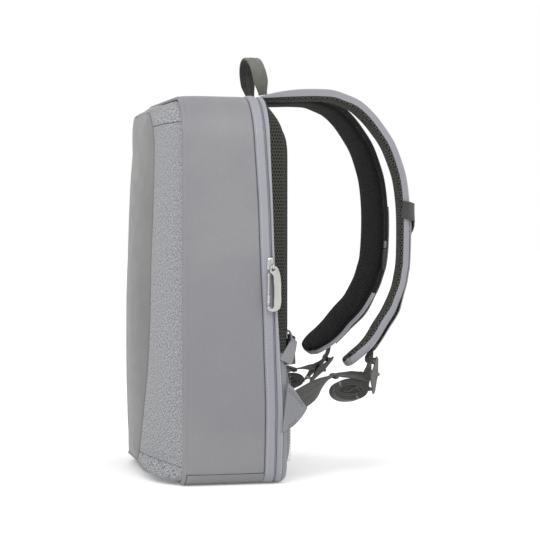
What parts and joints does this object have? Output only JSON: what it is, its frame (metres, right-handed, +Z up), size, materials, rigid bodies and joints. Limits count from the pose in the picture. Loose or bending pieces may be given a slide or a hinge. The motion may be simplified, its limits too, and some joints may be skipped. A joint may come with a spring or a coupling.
{
  "type": "anti theft backpack",
  "caption": "Slim upright backpack with a hidden side zip, snap-hook lock, padded mesh back, curved shoulder straps, webbing adjusters and a top handle.",
  "frame": {"origin": "middle of the flat base, on the surface that the bag stands on", "axes": "+Z up; +Y from the front panel towards the shoulder straps; +X towards the side with the zip lock"},
  "size_m": [0.3132, 0.3433, 0.5041],
  "materials": {
    "shell_cloth": "smooth coated cloth, matte",
    "heather_cloth": "speckled woven cloth",
    "front_cloth": "smooth coated cloth, matte",
    "zip_cloth": "smooth padded cloth",
    "back_cloth": "smooth cloth",
    "strap_cloth": "smooth cloth",
    "zip_tape": "dark woven tape",
    "spacer_mesh": "dark spacer mesh",
    "webbing": "woven webbing",
    "handle_webbing": "woven webbing",
    "elastic": "woven elastic",
    "adjuster": "matte moulded plastic",
    "pull_rubber": "matte rubber",
    "metal": "brushed nickel"
  },
  "bodies": {
    "bag": {"front_rim": "shell_cloth", "side_gusset": "shell_cloth", "bottom_gusset": "shell_cloth", "zip_flap_front": "zip_cloth", "zip_flap_rear": "zip_cloth", "zip_tape": "zip_tape", "band_right": "heather_cloth", "band_left": "heather_cloth", "band_top": "heather_cloth", "band_bottom": "heather_cloth", "front_panel": "front_cloth", "back_panel": "back_cloth", "back_pad": "spacer_mesh", "lower_back_pad": "back_cloth", "luggage_band": "elastic", "luggage_end_right": "strap_cloth", "luggage_end_left": "strap_cloth", "strap_loop": "elastic", "strap_zip_slider": "metal", "strap_zip_pull": "pull_rubber", "top_handle": "handle_webbing", "zip_slider": "metal", "zip_bail": "metal", "strap_cover_right": "strap_cloth", "strap_mesh_right": "spacer_mesh", "strap_overlay_right": "strap_cloth", "adjuster_right": "adjuster", "adjuster_web_right": "webbing", "lower_web_right": "webbing", "web_roll_right": "webbing", "side_tab_right": "strap_cloth", "strap_cover_left": "strap_cloth", "strap_mesh_left": "spacer_mesh", "strap_overlay_left": "strap_cloth", "adjuster_left": "adjuster", "adjuster_web_left": "webbing", "lower_web_left": "webbing", "web_roll_left": "webbing", "side_tab_left": "strap_cloth"},
    "lock": {"lock_hook": "metal"},
    "gate": {"lock_gate": "metal"}
  },
  "joints": [
    {"name": "lock_swing", "type": "hinge", "parent": "bag", "child": "lock", "pos_m": [0.15684, 0.04724, 0.2528], "axis": [0, -1, 0], "range_deg": [0, 150]},
    {"name": "gate_open", "type": "hinge", "parent": "lock", "child": "gate", "pos_m": [0.15684, 0.04213, 0.24488], "axis": [1, 0, 0], "range_deg": [0, 7.5], "stiffness_Nm_per_rad": 0.004, "springref_deg": -2.86}
  ]
}
